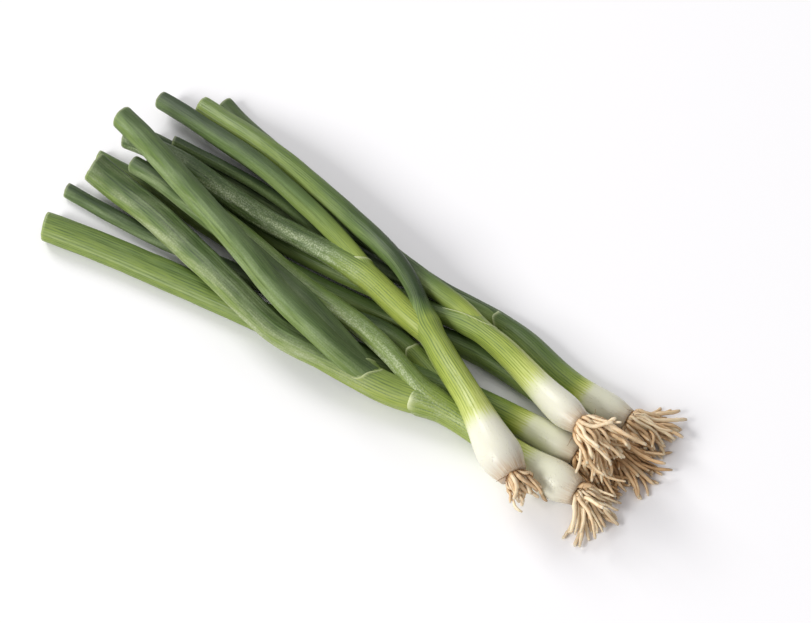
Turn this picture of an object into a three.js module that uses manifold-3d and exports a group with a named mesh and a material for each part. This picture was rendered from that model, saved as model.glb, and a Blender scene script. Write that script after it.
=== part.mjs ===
// A loose bunch of six spring onions lying on a surface, roots on and tops cut.
//
// Millimetres, +Z up. +X runs towards the roots. The surface is the plane Z = 0.
//
// Every onion is a stack of sheaths: each leaf wraps the next younger one, opens at a mouth and
// goes on to one side as its own hollow blade. The oldest leaf, with the bulb and the root plate's
// seat, is the onion's shaft. Each younger leaf stands in the mouth of the leaf before it.
//
// A leaf is drawn only in plan, by the points that it passes over. Its height is found by laying
// the leaves down one after another, each as a springy rod on the surface and on those under it.

import * as THREE from "three";
import { mergeVertices } from "three/addons/utils/BufferGeometryUtils.js";
import Module from "manifold-3d";

const wasm = await Module();
wasm.setup();

// ---------------------------------------------------------------------------------------------
// Driving dimensions
// ---------------------------------------------------------------------------------------------

const AIR = 0.3; // gap that nested pieces keep to each other
const LAID_AIR = 0.5; // gap between leaves laid on each other
const SINK = 0.35; // depth by which the lowest leaves are pressed flat by the surface
const STATION = 4; // spacing of the stations along a leaf
const SOCKET = 14; // depth to which a younger leaf stands in the one before it
const LIP = 9; // height of the sheath's free lip above the socket
const SHEATH_WALL = 0.95; // sheath wall, with the gap inside it
const BLADE_WALL = 0.9; // wall of a hollow blade
const BLADE_FLATNESS = 0.78; // height of a blade's section as a share of its width
const KIN_FREE = 50; // distance from its foot at which a leaf has left its own onion's leaves
const KIN_REACH = 90; // length of a younger leaf that may touch the older leaves of its onion
const KNIFE = 0.25; // slant of a cut end, as rise over width

const SHAFT_SIDES = 10;
const BLADE_SIDES = 8;
const BORE_SIDES = 6;
const BULB_RINGS = [0, 4, 10, 16, 22, 30, 44]; // rings round a bulb, by distance from its root end
const FOOT_RINGS = [0, 14, 23, 32, 42, 54]; // rings round a younger leaf's foot
const BLADE_RING = 16; // spacing of the rings after those
const BORE_RING = 26;
const BORE_PAST = 4; // length of a bore past the leaf's end
const PASSES = 4000; // passes that a leaf takes to come to rest
const SAG = 0.004; // how far a leaf sags in one pass
const EASE = 0.6; // share of the way to its straightest line that a leaf moves in one pass
const WELD = 1e-4; // corners closer than this are one
const SURFACE = { long: 600, wide: 400, deep: 20 };

const GOLDEN_ANGLE = Math.PI * (3 - Math.sqrt(5));
const UP = new THREE.Vector3(0, 0, 1);
const LEVEL = new THREE.Vector3(0, 1, 0);
const PLATE = { share: 0.44, seat: 2.2, stand: 1.2 }; // root plate: radius by the bulb's, ends
const ROOT = {
  thick: 1.15, tip: 0.6, sides: 3, joints: 3, air: 0.4, tries: 12,
  inset: 0.2, // gap from a root's side to the plate's rim, and to the surface
  shortest: 0.6, // shortest root, as a share of the longest
  flare: [0.6, 1.4], // least and greatest flare, as shares of the tuft's spread
  flatten: 0.45, // flare up and down, as a share of the flare to the sides
  curl: 0.25, // sideways bend at each joint
  droop: [0.12, 0.36], // least and greatest bend down at each joint
};

const GREEN = { color: 0x56782f, roughness: 0.45, metalness: 0 };
const SHAFT_GREEN = { color: 0xb9cc7a, roughness: 0.35, metalness: 0 };
const ROOT_TAN = { color: 0xd8b98c, roughness: 0.8, metalness: 0 };

// ---------------------------------------------------------------------------------------------
// The leaves, in the order in which they are laid down
// ---------------------------------------------------------------------------------------------

// Half-widths of a shaft by distance from its root end: bulb, neck, stem, then its own blade.
function shaft({ bulb, stem, fork, base, blade, tip }) {
  return {
    flattens: [fork, fork + 50],
    widths: [
      [0, 0.5 * bulb], [4, 0.86 * bulb], [10, bulb], [16, 0.95 * bulb], [28, 0.45 * bulb + 0.5 * stem],
      [46, stem], [fork - 18, stem], [fork + 6, base], [fork + 50, blade], [Infinity, tip],
    ],
  };
}

// Half-widths of a younger leaf by distance from its foot in the socket.
function leaf({ foot, blade, tip, fork = SOCKET }) {
  return {
    flattens: [fork + 10, fork + 60],
    widths: [[0, foot], [fork, foot], [fork + 50, blade], [Infinity, tip]],
  };
}

const LEAVES = [
  {
    name: "onion_6_shaft", finish: SHAFT_GREEN, hollowFrom: 120,
    form: shaft({ bulb: 6.3, stem: 5.5, fork: 120, base: 4.6, blade: 5.6, tip: 4.2 }),
    route: [[118, -5], [107, -4], [81, 0], [37, 2], [8, -3], [-20, -7], [-48, -10], [-105, -12], [-150, -8],
      [-181, -9]],
  },
  {
    name: "onion_4_shaft", finish: SHAFT_GREEN, hollowFrom: 100,
    form: shaft({ bulb: 7.8, stem: 6.2, fork: 76, base: 4.6, blade: 8.2, tip: 8 }),
    route: [[110, -19], [87, -19], [56, -20], [16, -27], [-20, -37], [-57, -41.5], [-110, -48.5],
      [-147, -54], [-172, -59]],
  },
  {
    name: "onion_4_leaf_2", finish: GREEN, within: "onion_4_shaft", at: 58, hollowFrom: 26,
    form: leaf({ foot: 4.4, blade: 4.7, tip: 4.3 }),
    route: [[27, -18], [12, -14], [-8, -14], [-20, -17], [-36, -20], [-60, -23], [-90, -26], [-118, -31],
      [-142, -33], [-180, -34]],
  },
  {
    name: "onion_5_shaft", finish: SHAFT_GREEN, hollowFrom: 100,
    form: shaft({ bulb: 7.2, stem: 6.2, fork: 80, base: 4.4, blade: 5.2, tip: 4.6 }),
    route: [[118, 11], [101, 11], [85, 12], [66, 17], [50, 22], [37, 23.5], [2, 23], [-47, 26], [-101, 32],
      [-149, 36]],
  },
  {
    name: "onion_5_leaf_2", finish: GREEN, within: "onion_5_shaft", at: 62, hollowFrom: 26,
    form: leaf({ foot: 4.3, blade: 4.6, tip: 4.2 }),
    route: [[22, 20], [-1, 16], [-25, 15], [-75, 18], [-130, 18], [-167, 16]],
  },
  {
    name: "onion_3_shaft", finish: SHAFT_GREEN, hollowFrom: 100,
    form: shaft({ bulb: 8, stem: 6.2, fork: 76, base: 4.8, blade: 5.4, tip: 5 }),
    route: [[107, -13], [98, -11], [72, -2], [45, 6], [24, 7], [-5, 4], [-60, 0], [-100, 2], [-134, 3]],
  },
  {
    name: "onion_3_leaf_2", finish: GREEN, within: "onion_3_shaft", at: 58, hollowFrom: 26,
    form: leaf({ foot: 4.7, blade: 5.3, tip: 5.9 }),
    route: [[29, 12], [5, 13], [-23, 19], [-53, 27], [-93, 36], [-129, 45.5], [-151, 53]],
  },
  {
    name: "onion_2_shaft", finish: SHAFT_GREEN, hollowFrom: 115,
    form: shaft({ bulb: 9.4, stem: 7, fork: 92, base: 4.8, blade: 5.8, tip: 5.2 }),
    route: [[122, -37], [95, -37], [62, -34], [36, -34], [16, -29], [-9, -23], [-50, -18], [-95, -10],
      [-155, 0]],
  },
  {
    name: "onion_2_leaf_2", finish: GREEN, within: "onion_2_shaft", at: 64, hollowFrom: 80,
    form: {
      flattens: [40, 110],
      widths: [[0, 5.8], [24, 7], [46, 8], [70, 7.2], [120, 7.7], [Infinity, 8.8]],
      flatness: 0.62,
    },
    route: [[35, -38], [17, -42], [-3, -45], [-33, -49.5], [-64, -44], [-110, -31], [-142, -23],
      [-175, -18.5]],
  },
  {
    name: "onion_2_leaf_4", finish: GREEN, within: "onion_2_leaf_2", at: 28, hollowFrom: 26,
    form: leaf({ foot: 4.2, blade: 6.2, tip: 5 }),
    route: [[0, -38], [-16, -35], [-34, -29.5], [-59, -24.5], [-105, -16], [-158, -8]],
  },
  {
    name: "onion_1_shaft", finish: SHAFT_GREEN, hollowFrom: 120,
    form: shaft({ bulb: 10.3, stem: 6.7, fork: 98, base: 4, blade: 5.6, tip: 5.9 }),
    route: [[97, -52], [85, -47], [58, -30], [30, -14], [10, 0], [-7, 9], [-31, 18], [-60, 25], [-100, 33.2],
      [-157, 43.6]],
  },
  {
    name: "onion_1_leaf_2", finish: GREEN, within: "onion_1_shaft", at: 76, hollowFrom: 70,
    form: {
      flattens: [40, 90],
      widths: [[0, 5.5], [30, 6.2], [56, 6.5], [72, 6.1], [110, 6], [Infinity, 6]],
    },
    route: [[17, -9], [3, -6], [-24, 0], [-57, 2], [-93, 1], [-132, 3], [-171, 2]],
  },
  {
    name: "onion_1_leaf_4", finish: GREEN, within: "onion_1_leaf_2", at: 44, hollowFrom: 26,
    form: leaf({ foot: 2.6, blade: 3.4, tip: 3.2 }),
    route: [[-24, 2], [-45, 8], [-70, 15], [-95, 19], [-121, 19], [-154, 17.5]],
  },
  {
    name: "onion_1_leaf_3", finish: GREEN, within: "onion_1_leaf_2", at: 40, hollowFrom: 26,
    form: leaf({ foot: 3.9, blade: 5.2, tip: 5.4 }),
    route: [[-28, 5], [-43, 9], [-72, 16], [-103, 22.5], [-128, 27], [-177, 36]],
  },
  {
    name: "onion_2_leaf_3", finish: GREEN, within: "onion_2_leaf_2", at: 24, hollowFrom: 26,
    form: leaf({ foot: 5, blade: 6.4, tip: 6.6 }),
    route: [[-8, -45], [-36, -40], [-60, -32], [-97, -20], [-124, -11], [-175, 5]],
  },
];

// The root tufts. `lean` turns a tuft aside from its onion's axis, in plan.
const TUFTS = [
  { onion: "onion_6", count: 16, length: 35, spread: 0.5, lean: [0, -0.1] },
  { onion: "onion_4", count: 16, length: 33, spread: 0.5, lean: [0, -0.1] },
  { onion: "onion_5", count: 16, length: 30, spread: 0.45, lean: [0, 0.25] },
  { onion: "onion_3", count: 20, length: 34, spread: 0.6, lean: [0, 0.1] },
  { onion: "onion_2", count: 16, length: 27, spread: 0.5, lean: [-0.1, -0.2] },
  { onion: "onion_1", count: 14, length: 22, spread: 0.5, lean: [0, 0.45] },
];

// ---------------------------------------------------------------------------------------------
// Laying the leaves
// ---------------------------------------------------------------------------------------------

// Value at `distance` in a list of [distance, value] pairs, straight between them.
function read(pairs, distance, length) {
  const last = pairs.length - 1;
  const next = pairs.findIndex(([end], i) => i === last || (i > 0 && distance <= Math.min(end, length)));
  const [from, low] = pairs[next - 1];
  const [to, high] = pairs[next];
  const share = (distance - from) / (Math.min(to, length) - from);
  return THREE.MathUtils.lerp(low, high, THREE.MathUtils.clamp(share, 0, 1));
}

// Half-width and half-height of a leaf's section at a distance along it.
function sectionAt(line, distance) {
  const { widths, flattens, flatness = BLADE_FLATNESS } = line.form;
  const wide = read(widths, distance, line.length);
  const flattened = THREE.MathUtils.smoothstep(distance, ...flattens);
  return { wide, high: wide * THREE.MathUtils.lerp(1, flatness, flattened) };
}

// Position and heading at a distance along a line, straight on past its ends.
function frameAt(line, distance) {
  const { stations, length } = line;
  const t = THREE.MathUtils.clamp(distance / length, 0, 1) * (stations.length - 1);
  const i = Math.min(Math.floor(t), stations.length - 2);
  const before = stations[Math.max(i - 1, 0)];
  const after = stations[Math.min(i + 2, stations.length - 1)];
  const heading = after.clone().sub(before).normalize();
  const place = stations[i].clone().lerp(stations[i + 1], t - i);
  place.addScaledVector(heading, distance - THREE.MathUtils.clamp(distance, 0, length));
  return { place, heading };
}

// The plan of a leaf as evenly spaced stations. A younger leaf starts on the axis of the leaf that
// it stands in.
function planOf(leafSpec, lines) {
  const points = leafSpec.route.map(([x, y]) => new THREE.Vector3(x, y, 0));
  if (leafSpec.within) {
    const parent = lines.get(leafSpec.within);
    for (const rise of [SOCKET, SOCKET / 2, 0]) {
      points.unshift(frameAt(parent, leafSpec.at + rise).place.setZ(0));
    }
  }
  const curve = new THREE.CatmullRomCurve3(points, false, "centripetal");
  const count = Math.round(curve.getLength() / STATION);
  return { stations: curve.getSpacedPoints(count), length: curve.getLength() };
}

// Lowest height of a station that clears a leaf already laid down. Two oval sections side by side
// clear each other by the oval of their summed half-widths and half-heights.
function heightOver(station, section, under) {
  let height = -Infinity;
  under.stations.forEach((other, k) => {
    const reach = section.wide + under.sections[k].wide + LAID_AIR;
    const apart = Math.hypot(station.x - other.x, station.y - other.y) / reach;
    if (apart < 1) {
      const rise = section.high + under.sections[k].high + LAID_AIR;
      height = Math.max(height, other.z + rise * Math.sqrt(1 - apart * apart));
    }
  });
  return height;
}

const onionOf = (name) => name.slice(0, "onion_1".length);

// Lays one leaf on the surface and on the leaves laid before it. It is a rod that bends as little
// as it can: each pass moves every station towards the straightest line through its neighbours,
// a little down, and back up to the lowest height that is free there.
function lay(line, laid, parent) {
  const { stations, sections, spacing } = line;
  const last = stations.length - 1;
  const pinned = parent ? Math.round(SOCKET / spacing) : -1;
  const kinFrom = parent ? KIN_FREE : 0;
  const lowest = stations.map((station, i) => {
    let height = sections[i].high * Math.cos(Math.PI / BLADE_SIDES) - SINK;
    for (const under of laid) {
      const kin = onionOf(under.name) === onionOf(line.name);
      if (!kin || i * spacing > kinFrom) {
        height = Math.max(height, heightOver(station, sections[i], under));
      }
    }
    return height;
  });
  for (let i = 0; i <= pinned; i += 1) {
    lowest[i] = frameAt(parent, line.at + i * spacing).place.z;
  }
  let heights = lowest.map((height, i) => (i <= pinned ? height : Math.max(...lowest)));
  for (let pass = 0; pass < PASSES; pass += 1) {
    const h = heights;
    heights = h.map((height, i) => {
      if (i <= pinned) return height;
      let straight = (4 * (h[i - 1] + h[i + 1]) - h[i - 2] - h[i + 2]) / 6;
      if (i === 0) straight = 2 * h[1] - h[2];
      if (i === 1) straight = (2 * h[0] + 4 * h[2] - h[3]) / 5;
      if (i === last - 1) straight = (2 * h[last] + 4 * h[last - 2] - h[last - 3]) / 5;
      if (i === last) straight = 2 * h[last - 1] - h[last - 2];
      return Math.max(lowest[i], THREE.MathUtils.lerp(height, straight, EASE) - SAG);
    });
  }
  stations.forEach((station, i) => station.setZ(heights[i]));
}

function layAll() {
  const laid = new Map();
  for (const spec of LEAVES) {
    const line = { ...spec, ...planOf(spec, laid) };
    line.spacing = line.length / (line.stations.length - 1);
    line.sections = line.stations.map((_, i) => {
      const section = sectionAt(line, i * line.spacing);
      const sheath = spec.within && i * line.spacing < SOCKET + LIP ? SHEATH_WALL : 0;
      return { wide: section.wide + sheath, high: section.high + sheath };
    });
    lay(line, [...laid.values()], laid.get(spec.within));
    laid.set(spec.name, line);
  }
  return laid;
}

// ---------------------------------------------------------------------------------------------
// Solids
// ---------------------------------------------------------------------------------------------

function toSolid(geometry) {
  geometry.deleteAttribute("normal");
  geometry.deleteAttribute("uv");
  const merged = mergeVertices(geometry, WELD);
  return new wasm.Manifold(new wasm.Mesh({
    numProp: 3,
    vertProperties: new Float32Array(merged.attributes.position.array),
    triVerts: new Uint32Array(merged.index.array),
  }));
}

function toGeometry(solid) {
  const mesh = solid.getMesh();
  const geometry = new THREE.BufferGeometry();
  geometry.setAttribute("position", new THREE.BufferAttribute(mesh.vertProperties, 3));
  geometry.setIndex(new THREE.BufferAttribute(mesh.triVerts, 1));
  geometry.computeVertexNormals();
  return geometry;
}

// A cylinder bent along a line, with a ring at each of `marks` and a flat side down. `grow` widens
// it all round, and `slant` tilts its last ring as a knife would.
function sweep(line, marks, { sides, grow = 0, slant = 0, section = sectionAt, across = UP }) {
  const spans = marks.length - 1;
  const geometry = new THREE.CylinderGeometry(1, 1, 1, sides, spans, false, Math.PI / sides);
  const places = geometry.attributes.position;
  const local = new THREE.Vector3();
  for (let i = 0; i < places.count; i += 1) {
    local.fromBufferAttribute(places, i);
    const ring = Math.round((local.y + 0.5) * spans);
    const { place, heading } = frameAt(line, marks[ring]);
    const side = heading.clone().cross(across).normalize();
    const up = side.clone().cross(heading);
    const { wide, high } = section(line, marks[ring]);
    place.addScaledVector(side, local.x * (wide + grow)).addScaledVector(up, local.z * (high + grow));
    if (ring === spans) place.addScaledVector(heading, slant * local.x * wide);
    places.setXYZ(i, place.x, place.y, place.z);
  }
  return toSolid(geometry);
}

// Distances from `from` to `to`, about `step` apart.
function marksBetween(from, to, step) {
  const count = Math.max(1, Math.round((to - from) / step));
  return Array.from({ length: count + 1 }, (_, i) => THREE.MathUtils.lerp(from, to, i / count));
}

// Rings of a leaf's outside: close together round a bulb or a foot, then BLADE_RING apart.
function ringsOf(line) {
  const start = line.within ? FOOT_RINGS : BULB_RINGS;
  return [...start, ...marksBetween(start.at(-1), line.length, BLADE_RING).slice(1)];
}

function outside(line) {
  return sweep(line, ringsOf(line), { sides: line.within ? BLADE_SIDES : SHAFT_SIDES, slant: KNIFE });
}

// Bore of a hollow blade, open at the cut end.
function bore(line) {
  const marks = marksBetween(line.hollowFrom, line.length + BORE_PAST, BORE_RING);
  return sweep(line, marks, { sides: BORE_SIDES, grow: -BLADE_WALL });
}

// The foot of a younger leaf, as far as `reach` along it, grown all round.
function footOf(line, reach, grow) {
  const marks = ringsOf(line).filter((mark) => mark > 0 && mark <= reach);
  return sweep(line, [-grow, ...marks], { sides: BLADE_SIDES, grow });
}

// A tube with the free lip of its sheath, which wraps the foot of the next younger leaf.
function withLip(tube, younger, grow) {
  return younger ? tube.add(footOf(younger, SOCKET + LIP, SHEATH_WALL + grow)) : tube;
}

// A leaf's solid: its tube and lip, less every younger leaf that stands in it, the bore and
// whatever the surface presses flat.
function leafSolid(line, younger) {
  let solid = withLip(outside(line), younger[0], 0);
  younger.forEach((inner, i) => {
    solid = solid.subtract(withLip(footOf(inner, KIN_REACH, AIR), younger[i + 1], AIR));
  });
  return solid.subtract(bore(line)).subtract(belowSurface());
}

function belowSurface() {
  const { long, wide, deep } = SURFACE;
  return toSolid(new THREE.BoxGeometry(long, wide, deep).translate(0, 0, -deep / 2));
}

// ---------------------------------------------------------------------------------------------
// Roots
// ---------------------------------------------------------------------------------------------

// Repeatable random numbers from 0 to 1.
function seeded(seed) {
  let state = seed >>> 0;
  return () => {
    state = (state + 0x6d2b79f5) >>> 0;
    let t = Math.imul(state ^ (state >>> 15), 1 | state);
    t = (t + Math.imul(t ^ (t >>> 7), 61 | t)) ^ t;
    return ((t ^ (t >>> 14)) >>> 0) / 4294967296;
  };
}

// One root as a line of its own, from inside the plate outwards, bending down as it goes.
function drawRoot(tuft, head, plateRadius, k, random) {
  const between = ([low, high]) => THREE.MathUtils.lerp(low, high, random());
  const { place, heading } = frameAt(head, 0);
  const out = heading.clone().negate();
  const side = out.clone().cross(UP).normalize();
  const up = side.clone().cross(out);
  const share = Math.sqrt((k + 0.5) / tuft.count);
  const turn = k * GOLDEN_ANGLE + 0.5 * random();
  const radial = side.multiplyScalar(Math.cos(turn)).addScaledVector(up, Math.sin(turn));
  const at = place.clone().addScaledVector(radial, share * (plateRadius - ROOT.thick - ROOT.inset));
  radial.z *= ROOT.flatten;
  const going = out.clone().addScaledVector(radial, tuft.spread * share * between(ROOT.flare));
  going.x += tuft.lean[0];
  going.y += tuft.lean[1];
  going.normalize();
  const length = tuft.length * between([ROOT.shortest, 1]);
  const bend = new THREE.Vector3(
    between([-ROOT.curl, ROOT.curl]),
    between([-ROOT.curl, ROOT.curl]),
    -between(ROOT.droop),
  );
  const stations = [at.clone()];
  for (let joint = 0; joint < ROOT.joints; joint += 1) {
    at.addScaledVector(going, length / ROOT.joints);
    at.z = Math.max(at.z, ROOT.thick + ROOT.inset);
    stations.push(at.clone());
    going.add(bend).normalize();
  }
  return { stations, length };
}

function rootSection(line, distance) {
  const radius = THREE.MathUtils.lerp(ROOT.thick, ROOT.tip, distance / line.length);
  return { wide: radius, high: radius };
}

// Whether a root keeps clear of all that lies near it, given as balls along the leaves and roots.
function isClear(root, balls) {
  const between = new THREE.Vector3();
  for (let i = 1; i < root.stations.length; i += 1) {
    for (const share of [0, 0.5, 1]) {
      between.lerpVectors(root.stations[i - 1], root.stations[i], share);
      const thick = ROOT.thick + ROOT.air;
      if (balls.some((ball) => between.distanceTo(ball.place) < ball.radius + thick)) return false;
    }
  }
  return true;
}

function ballsOf(line, radiusAt, step) {
  return marksBetween(0, line.length, step).map((mark) => ({
    place: frameAt(line, mark).place, radius: radiusAt(line, mark),
  }));
}

// A root plate with its roots. It fills the seat in the bulb's end and stands a little proud.
function growTuft(tuft, seed, head, balls) {
  const radius = PLATE.share * head.form.widths[2][1];
  const random = seeded(seed);
  const disc = () => ({ wide: radius, high: radius });
  let solid = sweep(head, [-PLATE.stand, PLATE.seat], { sides: SHAFT_SIDES, section: disc });
  const seat = sweep(head, [-PLATE.stand, PLATE.seat], { sides: SHAFT_SIDES, section: disc, grow: AIR });
  const roots = [];
  for (let k = 0; k < tuft.count; k += 1) {
    for (let attempt = 0; attempt < ROOT.tries; attempt += 1) {
      const root = drawRoot(tuft, head, radius, k, random);
      if (isClear(root, balls)) {
        roots.push(root);
        break;
      }
    }
  }
  for (const root of roots) {
    const marks = marksBetween(0, root.length, root.length / ROOT.joints);
    const form = { sides: ROOT.sides, section: rootSection, across: LEVEL };
    solid = solid.add(sweep(root, marks, form));
  }
  return { solid, seat, roots };
}

// ---------------------------------------------------------------------------------------------
// The bunch
// ---------------------------------------------------------------------------------------------

function asMesh(name, solid, finish, foot) {
  const geometry = toGeometry(solid).translate(-foot.x, -foot.y, 0);
  const mesh = new THREE.Mesh(geometry, new THREE.MeshStandardMaterial(finish));
  mesh.name = name;
  return mesh;
}

function buildBunch() {
  const laid = layAll();
  const bunch = new THREE.Group();
  const grown = [];
  TUFTS.forEach((tuft, index) => {
    const kin = [...laid.values()].filter((line) => onionOf(line.name) === tuft.onion);
    kin.sort((a, b) => (a.within ? a.name : "").localeCompare(b.within ? b.name : ""));
    const head = kin[0];
    const balls = [...laid.values()].filter((line) => line !== head).flatMap((line) => (
      ballsOf(line, (l, mark) => sectionAt(l, mark).wide, STATION)));
    for (const other of grown) balls.push(...ballsOf(other, () => ROOT.thick, 3));
    const { solid: roots, seat, roots: drawn } = growTuft(tuft, index + 1, head, balls);
    grown.push(...drawn);

    const onion = new THREE.Group();
    const foot = frameAt(head, 0).place;
    onion.position.set(foot.x, foot.y, 0);
    kin.forEach((line, age) => {
      let solid = leafSolid(line, kin.slice(age + 1));
      if (line === head) solid = solid.subtract(seat);
      onion.add(asMesh(line.name, solid, line.finish, foot));
    });
    onion.add(asMesh(`${tuft.onion}_roots`, roots, ROOT_TAN, foot));
    bunch.add(onion);
  });
  const box = new THREE.Box3().setFromObject(bunch);
  const middle = box.getCenter(new THREE.Vector3());
  bunch.position.set(-middle.x, -middle.y, -box.min.z);
  return bunch;
}

export default buildBunch();
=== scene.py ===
"""A loose bunch of spring onions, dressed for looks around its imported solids.

Every leaf is read from its solid: planes cut across it give the line that it follows and how wide
and high it is there. A fine skin is drawn along that line, with ribs, folds, the mouth of its sheath
and a hollow cut end. Root tufts grow from the plates in the same way as the solids' roots, but finer.
Metres, +Z up, +X towards the roots.
"""

from __future__ import annotations

import logging
import math
from collections.abc import Sequence
from dataclasses import dataclass, field
from enum import Enum
from functools import reduce

import bpy
import numpy as np
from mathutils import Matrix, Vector

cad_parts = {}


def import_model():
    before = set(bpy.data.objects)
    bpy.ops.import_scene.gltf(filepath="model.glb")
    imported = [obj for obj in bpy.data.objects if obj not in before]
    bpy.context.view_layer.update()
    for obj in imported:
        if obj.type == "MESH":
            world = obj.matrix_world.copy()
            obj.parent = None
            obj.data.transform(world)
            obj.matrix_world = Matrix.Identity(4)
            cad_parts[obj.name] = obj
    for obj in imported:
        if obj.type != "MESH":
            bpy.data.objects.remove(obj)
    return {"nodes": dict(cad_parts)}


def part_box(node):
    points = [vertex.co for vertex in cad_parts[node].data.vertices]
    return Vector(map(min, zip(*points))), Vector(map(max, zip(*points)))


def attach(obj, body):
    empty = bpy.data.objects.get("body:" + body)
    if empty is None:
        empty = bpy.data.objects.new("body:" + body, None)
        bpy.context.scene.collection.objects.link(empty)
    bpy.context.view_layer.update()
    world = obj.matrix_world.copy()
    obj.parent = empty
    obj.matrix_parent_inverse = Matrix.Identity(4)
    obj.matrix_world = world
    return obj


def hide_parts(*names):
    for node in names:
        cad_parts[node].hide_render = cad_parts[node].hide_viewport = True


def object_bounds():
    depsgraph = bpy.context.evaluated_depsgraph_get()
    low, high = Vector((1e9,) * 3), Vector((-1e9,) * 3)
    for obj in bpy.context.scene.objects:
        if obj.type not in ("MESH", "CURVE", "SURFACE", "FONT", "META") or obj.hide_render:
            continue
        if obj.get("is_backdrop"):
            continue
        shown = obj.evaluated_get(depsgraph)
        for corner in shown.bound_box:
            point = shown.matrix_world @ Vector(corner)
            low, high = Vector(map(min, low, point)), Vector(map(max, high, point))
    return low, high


log = logging.getLogger("spring_onions")

MM = 0.001
UP = np.array([0.0, 0.0, 1.0])
BODY = "root"

Socket = bpy.types.NodeSocket
Rgb = tuple[int, int, int]
Pairs = Sequence[tuple[float, float]]


def linear(colour: Rgb) -> tuple[float, float, float, float]:
    """Scene-linear colour, with alpha, of a display colour from 0 to 255."""
    parts = [c / 255 for c in colour]
    return (*[c / 12.92 if c <= 0.04045 else ((c + 0.055) / 1.055) ** 2.4 for c in parts], 1.0)


def unit(vectors: np.ndarray) -> np.ndarray:
    """The vectors of the last axis, at length 1."""
    return vectors / np.maximum(np.linalg.norm(vectors, axis=-1, keepdims=True), 1e-12)


def eased(low: float, high: float, values: np.ndarray) -> np.ndarray:
    """Smooth step from 0 at low to 1 at high."""
    share = np.clip((values - low) / (high - low), 0.0, 1.0)
    return share * share * (3.0 - 2.0 * share)


def smoothed(values: np.ndarray, spread: float) -> np.ndarray:
    """Columns of numbers evened out along their length, with both ends kept.

    Args:
        values: Rows at even spacing, one column for each quantity.
        spread: Width of the evening, in rows.

    Returns:
        An array of the same shape.
    """
    reach = min(int(3 * spread) + 1, len(values) - 1)
    kernel = np.exp(-0.5 * (np.arange(-reach, reach + 1) / spread) ** 2)
    kernel /= kernel.sum()
    head = 2 * values[0] - values[reach:0:-1]
    tail = 2 * values[-1] - values[-2 : -reach - 2 : -1]
    padded = np.concatenate([head, values, tail])
    return np.stack([np.convolve(column, kernel, "valid") for column in padded.T], axis=1)


def full_turn(count: int) -> np.ndarray:
    """Angles at even spacing, once round."""
    return np.linspace(0, 2 * math.pi, count, endpoint=False)


def circles(turn: np.ndarray, side: np.ndarray, up: np.ndarray) -> np.ndarray:
    """Unit circles in the planes of a row of places, by place, by angle."""
    return np.cos(turn)[None, :, None] * side[:, None] + np.sin(turn)[None, :, None] * up[:, None]


def linked(name: str, data: bpy.types.ID) -> bpy.types.Object:
    """A new object with its data, linked to the scene."""
    made = bpy.data.objects.new(name, data)
    bpy.context.scene.collection.objects.link(made)
    return made


def looking_at(
    name: str, data: bpy.types.ID, aim: Vector, azimuth: float, elevation: float, distance: float
) -> bpy.types.Object:
    """A camera or a light that looks at a point.

    Args:
        name: Name of the object.
        data: Its camera or light.
        aim: The point.
        azimuth: Its angle round the point, in degrees.
        elevation: Its angle above the surface, in degrees.
        distance: Its distance from the point.

    Returns:
        The object, linked to the scene.
    """
    a, e = math.radians(azimuth), math.radians(elevation)
    back = Vector((math.sin(a) * math.cos(e), -math.cos(a) * math.cos(e), math.sin(e)))
    made = linked(name, data)
    made.location = aim + back * distance
    made.rotation_euler = back.to_track_quat("Z", "Y").to_euler()
    return made


def solid_name(onion: int, number: int) -> str:
    """Name of the solid of an onion's leaf, of which the first is its shaft."""
    return f"onion_{onion}_shaft" if number == 1 else f"onion_{onion}_leaf_{number}"


# ---- Reading the solids ----


@dataclass
class Stations:
    """Places along a line, each with its heading, its two cross directions and its half sizes."""

    run: np.ndarray
    place: np.ndarray
    heading: np.ndarray
    side: np.ndarray
    up: np.ndarray
    wide: np.ndarray
    high: np.ndarray

    def ring(self, turn: np.ndarray, inset: np.ndarray, ahead: np.ndarray) -> np.ndarray:
        """Points round every station.

        Args:
            turn: Angle of each point, from the side towards up, in radians.
            inset: Depth of each point under the oval, one row a station.
            ahead: Distance of each point ahead of its station.

        Returns:
            Points by station, by angle.
        """
        across = (self.wide[:, None] - inset) * np.cos(turn)
        above = (self.high[:, None] - inset) * np.sin(turn)
        points = self.place[:, None] + across[..., None] * self.side[:, None]
        points = points + above[..., None] * self.up[:, None]
        return points + ahead[..., None] * self.heading[:, None]


@dataclass
class CentreLine:
    """Where a leaf runs, with its half-width and half-height, from its root end to its cut end."""

    places: np.ndarray
    sizes: np.ndarray
    run: np.ndarray = field(init=False)
    headings: np.ndarray = field(init=False)

    def __post_init__(self) -> None:
        """Measures the line."""
        steps = np.linalg.norm(np.diff(self.places, axis=0), axis=1)
        self.run = np.concatenate([[0.0], np.cumsum(steps)])
        self.headings = unit(np.gradient(self.places, self.run, axis=0))

    @property
    def length(self) -> float:
        """Length of the line."""
        return float(self.run[-1])

    def at(self, distance: np.ndarray) -> Stations:
        """Stations at distances from the root end, straight on past the ends.

        Args:
            distance: Distances along the line.

        Returns:
            The stations.
        """
        inside = np.clip(distance, 0.0, self.length)
        place, heading, sizes = (
            np.stack([np.interp(inside, self.run, column) for column in rows.T], axis=1)
            for rows in (self.places, self.headings, self.sizes)
        )
        heading = unit(heading)
        side = unit(np.cross(heading, UP))
        place = place + heading * (distance - inside)[:, None]
        return Stations(distance, place, heading, side, np.cross(side, heading), sizes[:, 0], sizes[:, 1])


@dataclass
class Section:
    """The oval that fits a cut across a solid: its centre, half sizes and how true the fit is."""

    centre: np.ndarray
    sizes: np.ndarray
    trueness: float


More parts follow.
